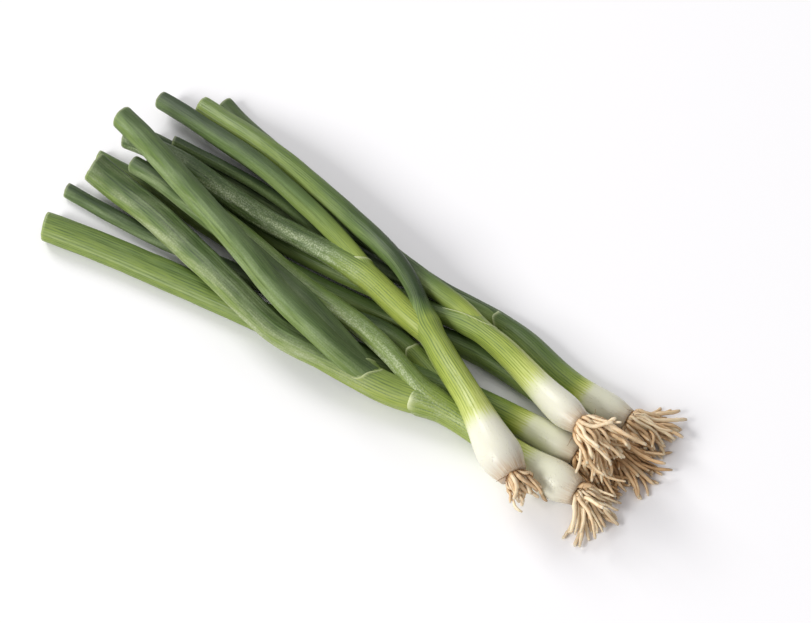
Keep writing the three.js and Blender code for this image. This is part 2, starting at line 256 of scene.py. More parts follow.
@dataclass
class SolidReader:
    """Cuts a leaf's solid by planes to find its line.

    A cut that isn't an oval, as where a leaf leaves its sheath, is passed over.
    """

    node: bpy.types.Object
    spacing: float = 2.0 * MM
    end_margin: float = 9.0 * MM
    rays: int = 40
    least_trueness: float = 0.975
    facet_loss: float = 1.04
    knife: float = 0.24
    end_reach: float = 20.0 * MM
    passes: int = 3
    corners: np.ndarray = field(init=False)
    triangles: np.ndarray = field(init=False)

    def __post_init__(self) -> None:
        """Takes the solid's corners and triangles."""
        mesh = self.node.data
        mesh.calc_loop_triangles()
        self.corners = np.array([v.co for v in mesh.vertices], float)
        self.triangles = np.array([t.vertices for t in mesh.loop_triangles], int)

    def cut(self, place: np.ndarray, side: np.ndarray, up: np.ndarray) -> tuple[np.ndarray, np.ndarray]:
        """Where a plane cuts the solid, as line pieces in the plane's own two directions.

        Args:
            place: A point on the plane.
            side: First direction in the plane.
            up: Second direction in the plane.

        Returns:
            The starts and the ends of the pieces.
        """
        depth = (self.corners - place) @ np.cross(up, side) + 1e-9
        signs = depth[self.triangles] > 0
        count = signs.sum(axis=1)
        crossed = (count == 1) | (count == 2)
        triangles, signs, count = self.triangles[crossed], signs[crossed], count[crossed]
        rows = np.arange(len(triangles))
        lone = np.argmax(signs == (count == 1)[:, None], axis=1)
        first = triangles[rows, lone]
        ends = []
        for step in (1, 2):
            other = triangles[rows, (lone + step) % 3]
            share = depth[first] / (depth[first] - depth[other])
            point = self.corners[first] + (self.corners[other] - self.corners[first]) * share[:, None]
            ends.append(np.stack([(point - place) @ side, (point - place) @ up], axis=1))
        return ends[0], ends[1]

    def outline(self, starts: np.ndarray, ends: np.ndarray, centre: np.ndarray) -> np.ndarray:
        """Furthest points of a cut, all round a centre.

        Args:
            starts: Starts of the cut's pieces.
            ends: Ends of the cut's pieces.
            centre: The centre.

        Returns:
            The points, in order.
        """
        angles = full_turn(self.rays)
        ray = np.stack([np.cos(angles), np.sin(angles)], axis=1)[:, None]
        start, along = (starts - centre)[None], (ends - starts)[None]
        across = ray[..., 0] * along[..., 1] - ray[..., 1] * along[..., 0]
        across = np.where(np.abs(across) < 1e-12, 1e-12, across)
        share = -(ray[..., 0] * start[..., 1] - ray[..., 1] * start[..., 0]) / across
        reach = ((start + share[..., None] * along) * ray).sum(axis=-1)
        reach = np.where((share >= 0) & (share <= 1) & (reach > 0), reach, 0.0).max(axis=1)
        return centre + ray[:, 0] * reach[:, None]

    def section(self, place: np.ndarray, side: np.ndarray, up: np.ndarray) -> Section | None:
        """The oval that fits the cut through a place.

        Args:
            place: A point on the cutting plane.
            side: First direction in the plane.
            up: Second direction in the plane.

        Returns:
            The oval, or None where there is no cut.
        """
        starts, ends = self.cut(place, side, up)
        if len(starts) < 4:
            return None
        centre = (starts.mean(axis=0) + ends.mean(axis=0)) / 2
        for _ in range(2):
            points = self.outline(starts, ends, centre)
            after = np.roll(points, -1, axis=0)
            twice = points[:, 0] * after[:, 1] - points[:, 1] * after[:, 0]
            area = twice.sum() / 2
            if area < 1e-7:
                return None
            centre = ((points + after) * twice[:, None]).sum(axis=0) / (6 * area)
        own, next_ = points - centre, after - centre
        twice = own[:, 0] * next_[:, 1] - own[:, 1] * next_[:, 0]
        spread = ((own**2 + own * next_ + next_**2) * twice[:, None]).sum(axis=0) / (12 * area)
        sizes = 2 * np.sqrt(spread)
        return Section(centre, sizes, area / (math.pi * sizes[0] * sizes[1]))

    def refined(self, line: CentreLine) -> CentreLine:
        """A line moved to the middle of the cuts across it.

        Args:
            line: The line so far.

        Returns:
            The line with the sizes of the cuts.
        """
        stations = line.at(np.arange(0.0, line.length, self.spacing))
        found = [self.section(*at) for at in zip(stations.place, stations.side, stations.up)]
        last = len(found) - 1
        kept = [
            i for i, s in enumerate(found)
            if s is not None and s.trueness > self.least_trueness and 0 < i < last - 1
        ]
        measured = np.array([[*found[i].centre, *found[i].sizes] for i in kept])
        columns = [np.interp(np.arange(last + 1), kept, column) for column in measured.T]
        moved = stations.place + columns[0][:, None] * stations.side + columns[1][:, None] * stations.up
        sizes = np.stack(columns[2:], axis=1) * self.facet_loss
        return CentreLine(smoothed(moved, 3.0), smoothed(sizes, 1.5))

    def to_ends(self, line: CentreLine) -> CentreLine:
        """A line carried on, or cut back, to the solid's ends.

        Args:
            line: The line so far.

        Returns:
            The line from the root end to the cut end.
        """
        ends = line.at(np.array([0.0, line.length]))
        near = [np.linalg.norm(self.corners - place, axis=1) < self.end_reach for place in ends.place]
        behind = -((self.corners[near[0]] - ends.place[0]) @ ends.heading[0]).min()
        ahead = ((self.corners[near[1]] - ends.place[1]) @ ends.heading[1]).max()
        far = line.length + ahead - self.knife * ends.wide[1]
        stations = line.at(np.linspace(-behind, far, int((far + behind) / self.spacing)))
        return CentreLine(stations.place, np.stack([stations.wide, stations.high], axis=1))

    def line(self) -> CentreLine:
        """Finds the leaf's line, from cuts across X at first and then across the line itself.

        Returns:
            The line.
        """
        low, high = self.corners[:, 0].min(), self.corners[:, 0].max()
        side, centres, sizes = np.array([0.0, 1.0, 0.0]), [], []
        for x in np.arange(high - self.end_margin, low + self.end_margin, -self.spacing):
            found = self.section(np.array([x, 0.0, 0.0]), side, UP)
            if found is not None:
                centres.append([x, *found.centre])
                sizes.append(found.sizes)
        line = CentreLine(smoothed(np.array(centres), 4.0), smoothed(np.array(sizes), 4.0))
        for _ in range(self.passes):
            line = self.refined(self.to_ends(line))
        return self.to_ends(line)


# ---- Meshes ----


class Ends(Enum):
    """How the first and last ring of a grid are finished: by caps, or joined to each other."""

    CLOSED = "closed"
    LOOPED = "looped"


@dataclass
class Skin:
    """Collects grids of points into one smooth mesh, with what the finishes need to know of each.

    Points are held inside the limits, the low and the high corner of the solids' box.
    """

    limits: np.ndarray
    points: list[np.ndarray] = field(default_factory=list)
    strands: list[np.ndarray] = field(default_factory=list)
    tints: list[np.ndarray] = field(default_factory=list)
    faces: list[list[int]] = field(default_factory=list)
    count: int = 0

    def add(self, grid: np.ndarray, strand: np.ndarray, tint: np.ndarray, ends: Ends) -> None:
        """Adds a tube.

        Args:
            grid: Points by ring, by place round the ring.
            strand: For each point, the cosine and sine of its angle and its distance along.
            tint: For each point, its ripeness, its paleness and its soil.
            ends: How the two ends are finished.
        """
        rings, around = grid.shape[:2]
        index = self.count + np.arange(rings * around).reshape(rings, around)
        if ends is Ends.LOOPED:
            index = np.concatenate([index, index[:1]])
        beside = np.roll(index, -1, axis=1)
        quads = np.stack([index[:-1], index[1:], beside[1:], beside[:-1]], axis=-1).reshape(-1, 4).tolist()
        grids = [grid.reshape(-1, 3), strand.reshape(-1, 3), tint.reshape(-1, 3)]
        if ends is Ends.CLOSED:
            grids = [np.concatenate([g, rows[[0, -1]].mean(axis=1)]) for g, rows in
                     zip(grids, (grid, strand, tint))]
            middle = self.count + rings * around
            quads += [[middle, a, b] for a, b in zip(index[0], beside[0])]
            quads += [[middle + 1, b, a] for a, b in zip(index[-1], beside[-1])]
        self.points.append(grids[0])
        self.strands.append(grids[1])
        self.tints.append(grids[2])
        self.faces += quads
        self.count += len(grids[0])

    def build(self, name: str, finish: bpy.types.Material) -> bpy.types.Object:
        """Makes the object.

        Args:
            name: Name of the piece.
            finish: Its material.

        Returns:
            The object, linked to the scene.
        """
        mesh = bpy.data.meshes.new(name)
        mesh.from_pydata(np.clip(np.concatenate(self.points), *self.limits).tolist(), [], self.faces)
        mesh.polygons.foreach_set("use_smooth", [True] * len(self.faces))
        for label, rows in (("strand", self.strands), ("tint", self.tints)):
            layer = mesh.attributes.new(label, "FLOAT_VECTOR", "POINT")
            layer.data.foreach_set("vector", np.concatenate(rows).astype(np.float32).ravel())
        mesh.materials.append(finish)
        mesh.update()
        return linked(name, mesh)


def strand_of(turn: np.ndarray, run: np.ndarray) -> np.ndarray:
    """Cosine and sine of the angle, and the distance along, of every point of a grid."""
    shape = (len(run), len(turn))
    parts = (np.cos(turn)[None], np.sin(turn)[None], run[:, None])
    return np.stack([np.broadcast_to(part, shape) for part in parts], axis=-1)


def tint_of(ripe: np.ndarray, pale: np.ndarray, soil: np.ndarray) -> np.ndarray:
    """Ripeness, paleness and soil of every point of a grid."""
    return np.stack(np.broadcast_arrays(ripe, pale, soil), axis=-1)


# ---- Finishes ----


@dataclass
class Board:
    """Short ways to place and join nodes in one tree."""

    tree: bpy.types.NodeTree

    def put(self, kind: str, inputs: dict | None = None, **settings: object) -> bpy.types.Node:
        """Places a node.

        Args:
            kind: The node's type.
            inputs: Values or sockets for its inputs, by name or number.
            **settings: Its own settings.

        Returns:
            The node.
        """
        node = self.tree.nodes.new(kind)
        for name, value in settings.items():
            setattr(node, name, value)
        for name, value in (inputs or {}).items():
            if isinstance(value, Socket):
                self.tree.links.new(value, node.inputs[name])
            else:
                node.inputs[name].default_value = value
        return node

    def calc(self, operation: str, *terms: Socket | float, clamp: bool = False) -> Socket:
        """Result of a Math node."""
        inputs = dict(enumerate(terms))
        return self.put("ShaderNodeMath", inputs, operation=operation, use_clamp=clamp).outputs[0]

    def times(self, *terms: Socket | float) -> Socket:
        """Product of values."""
        return reduce(lambda done, term: self.calc("MULTIPLY", done, term), terms)

    def plus(self, *terms: Socket | float) -> Socket:
        """Sum of values."""
        return reduce(lambda done, term: self.calc("ADD", done, term), terms)

    def split(self, vector: Socket) -> list[Socket]:
        """The three parts of a vector."""
        return list(self.put("ShaderNodeSeparateXYZ", {0: vector}).outputs)

    def join(self, *parts: Socket | float) -> Socket:
        """A vector of three parts."""
        return self.put("ShaderNodeCombineXYZ", dict(enumerate(parts))).outputs[0]

    def noise(self, vector: Socket, scale: float | Socket, detail: float = 2.0) -> Socket:
        """Noise from 0 to 1."""
        inputs = {"Vector": vector, "Scale": scale, "Detail": detail}
        return self.put("ShaderNodeTexNoise", inputs).outputs["Fac"]

    def span(self, value: Socket, low: float, high: float, to: tuple[float, float] = (0.0, 1.0)) -> Socket:
        """A value moved smoothly from one range to another, held inside it."""
        inputs = {"Value": value, "From Min": low, "From Max": high, "To Min": to[0], "To Max": to[1]}
        return self.put("ShaderNodeMapRange", inputs, interpolation_type="SMOOTHSTEP").outputs[0]

    def mix(self, share: Socket | float, first: Socket | tuple, second: Socket | tuple) -> Socket:
        """A mix of two colours."""
        inputs = {0: share, 6: first, 7: second}
        return self.put("ShaderNodeMix", inputs, data_type="RGBA").outputs[2]

    def ramp(self, value: Socket, stops: Sequence[tuple[float, Rgb]]) -> Socket:
        """A colour read from a row of stops.

        Args:
            value: Where to read, from 0 to 1.
            stops: Place and colour of each stop.

        Returns:
            The colour.
        """
        node = self.put("ShaderNodeValToRGB", {0: value})
        bar = node.color_ramp.elements
        while len(bar) < len(stops):
            bar.new(1.0)
        for element, (position, colour) in zip(bar, stops):
            element.position = position
            element.color = linear(colour)
        return node.outputs[0]

    def apply(self, group: bpy.types.NodeTree, inputs: dict) -> bpy.types.bpy_prop_collection:
        """Places a group and gives its outputs."""
        return self.put("ShaderNodeGroup", inputs, node_tree=group).outputs

    def layers(self) -> tuple[Socket, Socket, Socket]:
        """A piece's strand and tint, and the place in its own space."""
        nodes = [self.put("ShaderNodeAttribute", attribute_name=name) for name in ("strand", "tint")]
        return *(node.outputs["Vector"] for node in nodes), self.put("ShaderNodeTexCoord").outputs["Object"]

    def bump(self, height: Socket, distance: float, below: Socket | None = None) -> Socket:
        """Normals of a relief, over those of the relief below it."""
        inputs = {"Strength": 1.0, "Distance": distance, "Height": height}
        return self.put("ShaderNodeBump", inputs | ({"Normal": below} if below else {})).outputs[0]

    def surface(self, inputs: dict) -> None:
        """Places the surface shader and the output of a material."""
        shader = self.put("ShaderNodeBsdfPrincipled", inputs)
        self.put("ShaderNodeOutputMaterial", {0: shader.outputs[0]})


def blank(name: str) -> tuple[bpy.types.Material, Board]:
    """A new material and the board on which it is drawn.

    Args:
        name: Name of the material.

    Returns:
        The material and its board.
    """
    material = bpy.data.materials.new(name)
    material.use_nodes = True
    material.node_tree.nodes.clear()
    return material, Board(material.node_tree)


@dataclass
class Effect:
    """A shader group that several finishes use."""

    name: str
    takes: dict[str, tuple[str, object]]
    gives: tuple[str, ...]
    tree: bpy.types.NodeTree = field(init=False)

    def __post_init__(self) -> None:
        """Makes the group's sockets and draws what is between them."""
        self.tree = bpy.data.node_groups.new(self.name, "ShaderNodeTree")
        for label, (kind, value) in self.takes.items():
            socket = self.tree.interface.new_socket(label, in_out="INPUT", socket_type=kind)
            if value is not None:
                socket.default_value = value
        for label in self.gives:
            self.tree.interface.new_socket(label, in_out="OUTPUT", socket_type="NodeSocketFloat")
        board = Board(self.tree)
        given = board.put("NodeGroupInput").outputs
        results = self.draw(board, given)
        board.put("NodeGroupOutput", dict(zip(self.gives, results)))

    def draw(self, board: Board, given: object) -> Sequence[Socket]:
        """Draws the effect and returns its results, in the order of gives."""
        raise NotImplementedError


FLOAT, VECTOR = "NodeSocketFloat", "NodeSocketVector"


class Veins(Effect):
    """Fine lengthwise veins, as lines round a leaf, broken up by streaks."""

    def draw(self, board: Board, given: object) -> Sequence[Socket]:
        """Draws the veins.

        Args:
            board: Board of the group.
            given: The group's inputs, by name.

        Returns:
            The lines and the streaks.
        """
        x, y, z = board.split(given["Strand"])
        wander = board.noise(board.join(x, y, board.times(z, 22.0)), 1.6, 1.0)
        wander = board.times(board.calc("SUBTRACT", wander, 0.5), given["Wander"])
        turn = board.times(board.calc("ARCTAN2", y, x), given["Count"])
        lines = board.calc("MULTIPLY_ADD", board.calc("COSINE", board.plus(turn, wander)), 0.5, 0.5)
        streaks = board.span(board.noise(board.join(x, y, board.times(z, 9.0)), 9.0, 3.0), 0.3, 0.7)
        kept = board.calc("MULTIPLY_ADD", streaks, 0.8, 0.2)
        return board.times(board.calc("POWER", lines, 2.4), kept), streaks


class Bloom(Effect):
    """The patchy waxy bloom on a green leaf, with pale mottling in it, painted thicker on the side that faces
    the light as a painted highlight.
    """

    def draw(self, board: Board, given: object) -> Sequence[Socket]:
        """Draws the bloom.

        Args:
            board: Board of the group.
            given: The group's inputs, by name.

        Returns:
            The patches and the mottling, both thicker on the lit side, and how far a point is on the lit
            side, which carries painted light and shade.
        """
        x, y, z = board.split(given["Strand"])
        # How far each point faces the light: the lit side gets painted highlight, the far side painted shade.
        across = board.times(x, board.calc("COSINE", given["Facing"]))
        above = board.times(y, board.calc("SINE", given["Facing"]))
        side = board.span(board.plus(across, above), 0.1, 1.0)
        long = board.join(x, y, board.times(z, 30.0))
        patches = board.span(board.noise(long, 1.3, 3.0), 0.35, 0.65)
        patches = board.times(patches, board.calc("MULTIPLY_ADD", side, 0.75, 0.25))
        mottle = board.span(board.noise(given["Place"], 1300.0, 3.0), 0.46, 0.62)
        return patches, board.times(patches, mottle), side


class Beads(Effect):
    """Small drops of water that catch the light."""

    def draw(self, board: Board, given: object) -> Sequence[Socket]:
        """Draws the drops.

        Args:
            board: Board of the group.
            given: The group's inputs, by name.

        Returns:
            Their height.
        """
        cells = board.put("ShaderNodeTexVoronoi", {"Vector": given["Place"], "Scale": given["Scale"]})
        drop = board.span(cells.outputs["Distance"], 0.1, 0.45, (1.0, 0.0))
        there = board.calc("LESS_THAN", board.split(cells.outputs["Color"])[0], given["Share"])
        patch = board.span(board.noise(given["Place"], 120.0, 2.0), 0.45, 0.6)
        return (board.times(drop, there, patch),)


@dataclass
class Effects:
    """The shader groups of the bunch, built once."""

    veins: bpy.types.NodeTree = field(init=False)
    bloom: bpy.types.NodeTree = field(init=False)
    beads: bpy.types.NodeTree = field(init=False)

    def __post_init__(self) -> None:
        """Builds the groups."""
        strand, place = {"Strand": (VECTOR, None)}, {"Place": (VECTOR, None)}
        counts = {"Count": (FLOAT, 30.0), "Wander": (FLOAT, 3.0)}
        self.veins = Veins("leaf_veins", strand | counts, ("Lines", "Streaks")).tree
        # Facing is the side of a leaf towards the light, where the bloom is painted thicker as a painted
        # highlight.
        facing = {"Facing": (FLOAT, math.radians(175))}
        self.bloom = Bloom("leaf_bloom", strand | place | facing, ("Patches", "Mottle", "Side")).tree
        drops = {"Scale": (FLOAT, 1400.0), "Share": (FLOAT, 0.4)}
        self.beads = Beads("water_beads", place | drops, ("Height",)).tree


RIPENING: tuple[tuple[float, Rgb], ...] = (
    (0.00, (222, 219, 204)),
    (0.12, (213, 215, 180)),
    (0.28, (190, 198, 114)),
    (0.46, (156, 169, 74)),
    (0.62, (124, 143, 64)),
    (0.80, (86, 109, 50)),
    (1.00, (42, 61, 28)),
)


@dataclass(frozen=True)
class LeafFinish:
    """Skin of a leaf or shaft, coloured by its ripeness from white at the root to green, with painted light
    and shade: paler bloom on the side that faces the light and darker colour on the side away from it.
    """

    name: str
    roughness: float = 0.42
    veins: float = 33.0
    vein_tint: float = 0.12
    vein_depth: float = 0.06 * MM
    bloom: float = 0.4
    mottle: float = 0.14
    # Painted shade: how much darker the side away from the light is.
    painted_shade: float = 0.16
    waxy_from: float = 0.55
    # Angle round the leaf of its lit side, in degrees, where the painted highlight goes.
    facing: float = 170.0
    bloom_colour: Rgb = (158, 172, 126)
    mottle_colour: Rgb = (186, 196, 160)
    pale_colour: Rgb = (214, 220, 170)
    soil_colour: Rgb = (176, 138, 92)
    streak_tint: float = 0.07
    waxy_roughness: float = 0.14
    patch_roughness: float = 0.12
    bead_gloss: float = 0.25
    grain_depth: float = 0.025 * MM
    grain_scale: float = 1800.0
    bead_share: float = 0.15
    bead_depth: float = 0.08 * MM
    bead_scale: float = 1300.0
    translucence: float = 0.08

    def build(self, effects: Effects) -> bpy.types.Material:
        """Makes the material.

        Args:
            effects: The shared shader groups.

        Returns:
            The material.
        """
        material, board = blank(self.name)
        strand, tint, place = board.layers()
        ripe, pale, soil = board.split(tint)
        veins = board.apply(effects.veins, {"Strand": strand, "Count": self.veins})
        facing = math.radians(self.facing)
        bloom = board.apply(effects.bloom, {"Strand": strand, "Place": place, "Facing": facing})
        drops = {"Place": place, "Scale": self.bead_scale, "Share": self.bead_share}
        beads = board.apply(effects.beads, drops)["Height"]
        green = board.span(ripe, 0.04, 0.3)
        waxy = board.span(ripe, self.waxy_from, self.waxy_from + 0.2)
        vein_tint = board.span(ripe, 0.55, 0.75, (self.vein_tint, 0.45 * self.vein_tint))
        level = board.plus(
            ripe,
            board.times(veins["Lines"], vein_tint, green),
            board.times(board.calc("SUBTRACT", veins["Streaks"], 0.5), self.streak_tint, green),
            # Painted shade on the side away from the light, painted light on the lit side.
            board.times(board.calc("SUBTRACT", 0.5, bloom["Side"]), self.painted_shade, waxy),
        )
        colour = board.ramp(level, RIPENING)
        for share, coat in (
            # Real waxy bloom and its mottling, painted thicker on the lit side as a painted highlight.
            (board.times(bloom["Patches"], self.bloom, waxy), self.bloom_colour),
            (board.times(bloom["Mottle"], self.mottle, waxy), self.mottle_colour),
            (pale, self.pale_colour),
            (board.times(soil, board.span(veins["Streaks"], 0.0, 1.0, (0.5, 1.0))), self.soil_colour),
        ):
            colour = board.mix(share, colour, linear(coat))
        rough = board.span(ripe, 0.3, 0.7, (self.roughness, self.roughness + self.waxy_roughness))
        rough = board.plus(rough, board.times(bloom["Patches"], self.patch_roughness))
        ribs = board.times(veins["Lines"], board.span(ripe, 0.0, 0.3, (0.25, 1.0)))
        relief = board.bump(ribs, self.vein_depth)
        relief = board.bump(board.noise(place, self.grain_scale, 3.0), self.grain_depth, relief)
        board.surface({
            "Base Color": colour,
            "Roughness": board.calc("MULTIPLY_ADD", beads, -self.bead_gloss, rough, clamp=True),
            "Normal": board.bump(beads, self.bead_depth, relief),
            "IOR": 1.45,
            "Subsurface Weight": self.translucence,
            "Subsurface Radius": (1.0, 1.0, 0.5),
            "Subsurface Scale": 2.0 * MM,
        })
        return material


@dataclass(frozen=True)
class RootFinish:
    """Dry fleshy roots: cream to tan by their own tone, brown where they leave the plate, with painted tan
    and brown shade towards their outlines.
    """

    name: str = "root_skin"
    cream: Rgb = (240, 222, 188)
    tan: Rgb = (212, 174, 126)
    brown: Rgb = (128, 84, 48)
    end_colour: Rgb = (232, 220, 192)
    soil_colour: Rgb = (120, 78, 46)
    roughness: float = 0.62
    wrinkle_depth: float = 0.12 * MM

    def build(self, effects: Effects) -> bpy.types.Material:
        """Makes the material.

        Args:
            effects: The shared shader groups.

        Returns:
            The material.
        """
        material, board = blank(self.name)
        strand, tint, place = board.layers()
        tone, pale, soil = board.split(tint)
        patch = board.times(board.calc("SUBTRACT", board.noise(place, 260.0, 3.0), 0.5), 0.6)
        # Painted shade: each root turns tan and brown towards its outline, where roots shade each other.
        edge = board.put("ShaderNodeLayerWeight", {"Blend": 0.5}).outputs["Facing"]
        level = board.calc("MULTIPLY_ADD", board.calc("POWER", edge, 3.0), 0.8, board.plus(tone, patch))
        colour = board.ramp(level, ((0.0, self.cream), (0.5, self.tan), (1.0, self.brown)))
        colour = board.mix(pale, colour, linear(self.end_colour))
        veins = board.apply(effects.veins, {"Strand": strand, "Count": 5.0, "Wander": 6.0})
        wrinkles = board.plus(veins["Lines"], board.noise(place, 1500.0, 3.0))
        board.surface({
            "Base Color": board.mix(soil, colour, linear(self.soil_colour)),
            "Roughness": self.roughness,
            "Normal": board.bump(wrinkles, self.wrinkle_depth),
            "Subsurface Weight": 0.1,
            "Subsurface Radius": (1.0, 0.6, 0.3),
            "Subsurface Scale": 1.0 * MM,
        })
        return material


@dataclass(frozen=True)
class FloorFinish:
    """A plain matt white surface."""

    name: str = "white_surface"
    colour: Rgb = (248, 247, 248)

    def build(self) -> bpy.types.Material:
        """Makes the material.

        Returns:
            The material.
        """
        material, board = blank(self.name)
        board.surface({"Base Color": linear(self.colour), "Roughness": 0.9, "Specular IOR Level": 0.1})
        return material


@dataclass
class Setting:
    """What the pieces of the bunch are made in.

    It has the line of every leaf by its solid's name, the shader groups, the low and the high corner of
    the solids' box, and the points of the roots made so far, which later tufts stay clear of.
    """

    lines: dict[str, CentreLine]
    effects: Effects
    limits: np.ndarray
    roots: list[np.ndarray] = field(default_factory=list)


# ---- Leaves ----


@dataclass(frozen=True)
class Crease:
    """A lengthwise fold: its angle round the leaf, its depth, its width and where it runs, in mm."""

    turn: float
    depth: float
    start: float
    end: float
    width: float = 14.0
    fade: float = 15.0

    def depth_at(self, run: np.ndarray, turn: np.ndarray) -> np.ndarray:
        """Depth of the fold at every point of a grid.

        Args:
            run: Distance of each ring from the root end.
            turn: Angle of each point of a ring.

        Returns:
            Depths by ring, by angle.
        """
        apart = (np.degrees(turn) - self.turn + 180.0) % 360.0 - 180.0
        fade = self.fade * MM
        there = eased(self.start * MM, self.start * MM + fade, run)
        there = there * (1.0 - eased(self.end * MM - fade, self.end * MM, run))
        return self.depth * MM * there[:, None] * np.exp(-0.5 * (apart / self.width) ** 2)[None]


@dataclass(frozen=True)
class Mouth:
    """The free edge of a sheath, wrapped round a younger leaf, which it has by number. Sizes are in mm."""

    around: int
    reach: float
    ripeness: Pairs
    slant: float = 3.0
    facing: float = 120.0
    flare: float = 0.2
    air: float = 0.2
    wall: float = 0.35
    start: float = 3.0
    pale_edge: float = 1.0
    pale_turn: float = 200.0
    paleness: float = 0.6
    rings: int = 26

    def grid(self, line: CentreLine, turn: np.ndarray, rng: np.random.Generator) -> tuple[np.ndarray, ...]:
        """The edge's two faces, as one closed loop of rings.

        Args:
            line: Line of the leaf that it wraps.
            turn: Angle of each point of a ring.
            rng: Where its waviness is drawn from.

        Returns:
            Points, strands and tints, by ring, by angle.
        """
        angle = turn - math.radians(self.facing)
        wave = sum(rng.uniform(0.1, 0.4) * np.cos(k * turn + rng.uniform(0, 6.3)) for k in (2, 3, 5))
        rim = (self.reach + self.slant * np.cos(angle) + wave) * MM
        share = np.linspace(0.0, 1.0, self.rings)
        rows = []
        for inward, shares in ((False, share), (True, share[::-1])):
            for part in shares:
                flare = self.flare * MM * part**6
                thin = 1.0 - 0.6 * part**4
                gap = self.air * MM + (0.0 if inward else self.wall * MM * thin) + flare
                rows.append((self.start * MM + part * (rim - self.start * MM), gap, part, inward))
        points = []
        for distance, gap, _, _ in rows:
            stations = line.at(distance)
            across = (stations.wide + gap) * np.cos(turn)
            above = (stations.high + gap) * np.sin(turn)
            points.append(stations.place + across[:, None] * stations.side + above[:, None] * stations.up)
        run = np.array([distance for distance, *_ in rows])
        ripe = np.interp(run / MM, *zip(*self.ripeness))
        from_rim = (rim[None] - run) / MM
        apart = np.degrees(np.arccos(np.clip(np.cos(angle), -1, 1)))
        pale = self.paleness * np.exp(-((from_rim / self.pale_edge) ** 2) - (apart / self.pale_turn) ** 4)
        inside = np.array([inward for *_, inward in rows])[:, None]
        strand = np.stack(np.broadcast_arrays(np.cos(turn)[None], np.sin(turn)[None], run), axis=-1)
        return np.array(points), strand, tint_of(np.where(inside, ripe * 0.6, ripe), pale, 0.0 * ripe)


@dataclass
class Leaf:
    """One leaf: a tube from its root end to its hollow cut end. Distances are in mm from the root end."""

    onion: int
    number: int
    ripeness: Pairs
    finish: LeafFinish
    creases: tuple[Crease, ...] = ()
    mouths: tuple[Mouth, ...] = ()
    rib_depth: float = 0.16
    bore: float = 26.0
    wall: float = 0.75
    soil: float = 0.0
    scar: Crease | None = None
    spacing: float = 1.5
    around: int = 72
    knife: float = 0.24
    knife_reach: float = 14.0
    rim: float = 0.8
    rim_bevel: float = 0.12
    soil_reach: float = 5.0
    surface_gap: float = 0.05
    ribs: Pairs = ((3, 0.5), (5, 0.7), (9, 0.6), (14, 0.5), (22, 0.35))
    rib_start: tuple[float, float] = (12.0, 60.0)
    lump_waves: tuple[float, ...] = (19.0, 31.0, 53.0)
    lump_depth: float = 0.08
    lump_start: tuple[float, float] = (40.0, 90.0)

    @property
    def node(self) -> str:
        """Name of its solid."""
        return solid_name(self.onion, self.number)

    @property
    def piece(self) -> str:
        """Name of its piece."""
        return f"onion_{self.onion}_sheath" if self.number == 1 else f"onion_{self.onion}_blade_{self.number}"

    @property
    def seed(self) -> int:
        """Start of its random draws."""
        return 10 * self.onion + self.number

    def relief(self, run: np.ndarray, turn: np.ndarray) -> np.ndarray:
        """Depth of the ribs, lumps and folds under the leaf's oval.

        Args:
            run: Distance of each ring from the root end.
            turn: Angle of each point of a ring.

        Returns:
            Depths by ring, by angle.
        """
        rng = np.random.default_rng(self.seed)
        along = run[:, None]
        depth = np.zeros((len(run), len(turn)))
        for count, share in self.ribs:
            phase, drift = rng.uniform(0, 2 * math.pi), rng.uniform(-9, 9)
            depth += share * (0.5 + 0.5 * np.cos(count * turn[None] + phase + drift * along))
        low, high = self.rib_start
        ribs = self.rib_depth * MM * eased(low * MM, high * MM, run)[:, None] * depth
        lumps = np.zeros_like(depth)
        for wave in self.lump_waves:
            phase, twist = rng.uniform(0, 2 * math.pi), rng.integers(0, 3)
            lumps += 0.5 + 0.5 * np.cos(2 * math.pi * along / (wave * MM) + phase + twist * turn[None])
        low, high = self.lump_start
        lumps *= self.lump_depth * MM * eased(low * MM, high * MM, run)[:, None]
        folds = sum((crease.depth_at(run, turn) for crease in self.creases), np.zeros_like(depth))
        return ribs + lumps + folds

    def build(self, setting: Setting) -> bpy.types.Object:
        """Makes the leaf with the mouths of its sheath.

        Args:
            setting: What it is made in.

        Returns:
            The piece.
        """
        line, skin = setting.lines[self.node], Skin(setting.limits)
        turn = full_turn(self.around)
        outer = np.linspace(0.0, line.length, int(line.length / (self.spacing * MM)))
        inner = np.linspace(line.length, line.length - self.bore * MM, int(self.bore / 3))
        run = np.concatenate([outer, inner])
        stations = line.at(run)
        depth = self.relief(run, turn)
        inside = np.arange(len(run)) >= len(outer)
        depth[inside] += self.wall * MM
        depth[len(outer) - 1] += self.rim_bevel * MM
        depth[len(outer)] -= self.rim_bevel * MM
        cut = eased(line.length - self.knife_reach * MM, line.length, run)
        ahead = (self.knife * stations.wide * cut)[:, None] * np.cos(turn)[None]
        grid = stations.ring(turn, depth, ahead)
        grid[..., 2] = np.maximum(grid[..., 2], self.surface_gap * MM)
        ripe = np.interp(run / MM, *zip(*self.ripeness))[:, None] * np.ones(len(turn))
        rim = np.exp(-(((line.length - run) / (self.rim * MM)) ** 2))[:, None]
        pale = np.where(inside[:, None], 0.35 + 0.35 * rim, 0.25 * rim) * np.ones(len(turn))
        if self.scar is not None:
            pale = np.maximum(pale, self.scar.depth_at(run, turn) / MM)
        soil = self.soil * np.exp(-((run / (self.soil_reach * MM)) ** 2))[:, None] * np.ones(len(turn))
        skin.add(grid, strand_of(turn, run), tint_of(ripe, pale, soil), Ends.CLOSED)
        rng = np.random.default_rng(self.seed + 500)
        for mouth in self.mouths:
            younger = setting.lines[solid_name(self.onion, mouth.around)]
            skin.add(*mouth.grid(younger, turn, rng), Ends.LOOPED)
        piece = skin.build(self.piece, self.finish.build(setting.effects))
        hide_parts(self.node)
        return piece


# ---- Roots ----


